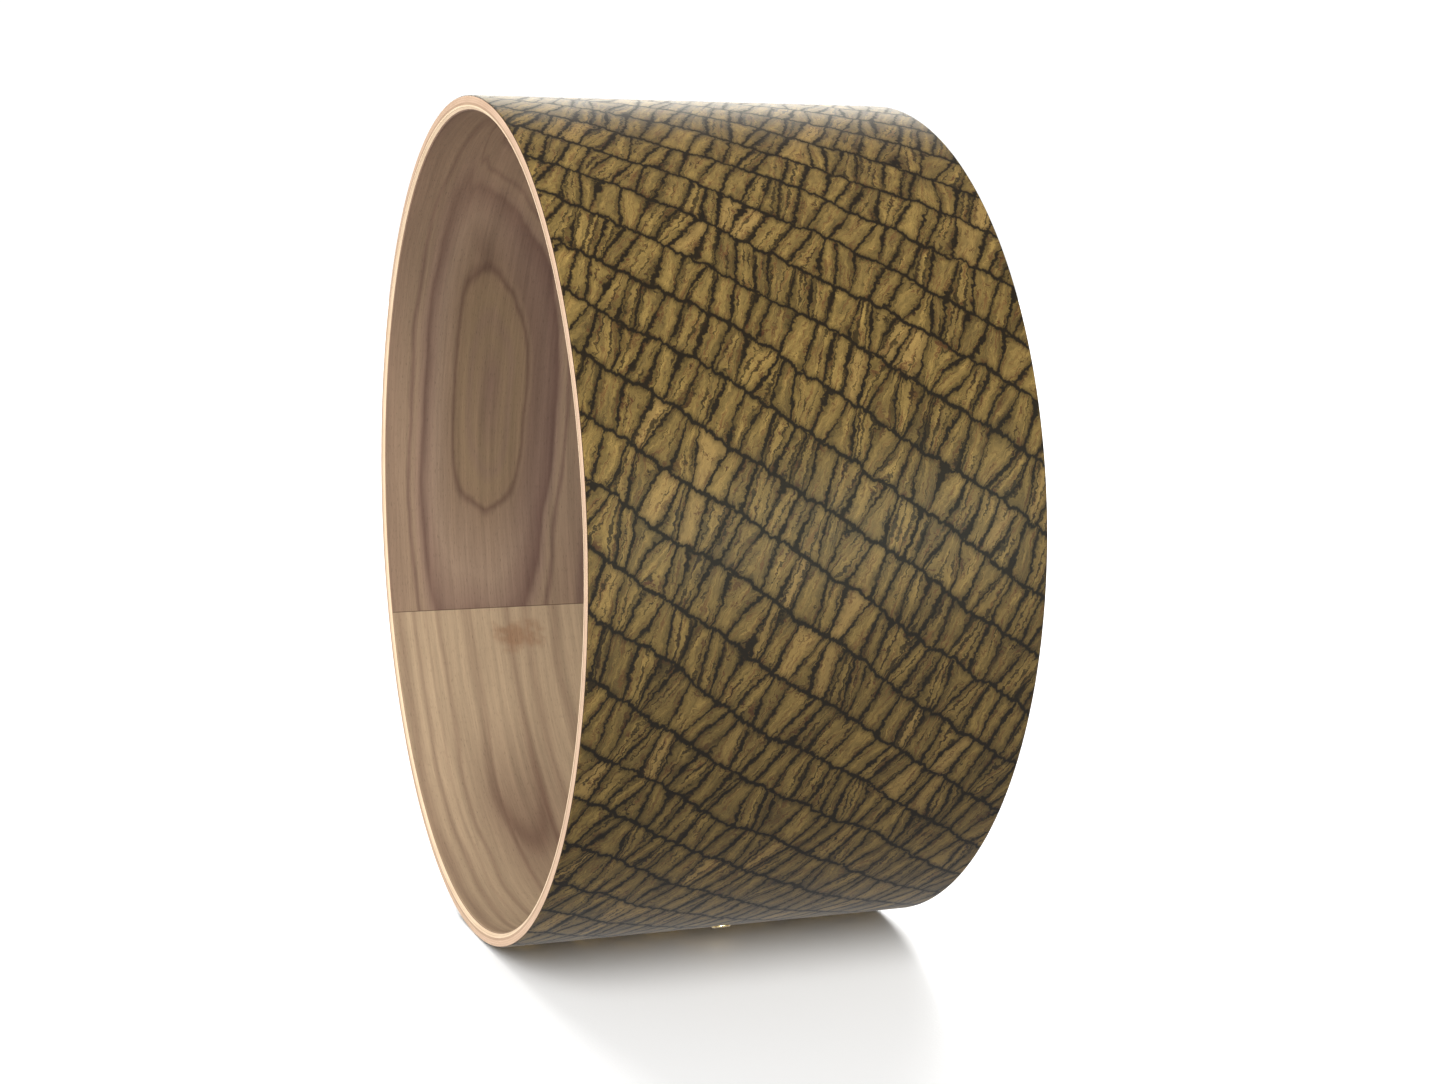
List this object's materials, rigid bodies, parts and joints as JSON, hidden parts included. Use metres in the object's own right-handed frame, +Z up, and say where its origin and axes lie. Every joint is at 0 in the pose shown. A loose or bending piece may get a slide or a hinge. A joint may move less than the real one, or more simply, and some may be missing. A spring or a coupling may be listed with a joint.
{
  "type": "bass drum shell",
  "caption": "Bare round wooden bass drum shell of bonded ply sheets, open at both ends, with a bearing edge at each end and a brass vent in its wall.",
  "frame": {"origin": "on the floor under the middle of the shell, which lies on its curved side", "axes": "+Z up, +Y along the drum's axis, away from the nearer open end; +X across, towards the side that shows"},
  "size_m": [0.605, 0.309, 0.605],
  "materials": {
    "outer_veneer": "satin",
    "core_tan": "bare sanded",
    "core_brown": "bare sanded",
    "core_cream": "bare sanded",
    "inner_veneer": "oiled satin",
    "vent_brass": "polished"
  },
  "bodies": {
    "root": {"outer_veneer_sheet_a": "outer_veneer", "outer_veneer_sheet_b": "outer_veneer", "core_ply_1_sheet_a": "core_tan", "core_ply_1_sheet_b": "core_tan", "core_ply_2_sheet_a": "core_tan", "core_ply_2_sheet_b": "core_tan", "core_ply_3_sheet_a": "core_tan", "core_ply_3_sheet_b": "core_tan", "core_ply_4_sheet_a": "core_brown", "core_ply_4_sheet_b": "core_brown", "core_ply_5_sheet_a": "core_cream", "core_ply_5_sheet_b": "core_cream", "core_ply_6_sheet_a": "core_cream", "core_ply_6_sheet_b": "core_cream", "inner_veneer_sheet_a": "inner_veneer", "inner_veneer_sheet_b": "inner_veneer", "vent_eyelet": "vent_brass", "vent_washer": "vent_brass"}
  },
  "joints": []
}
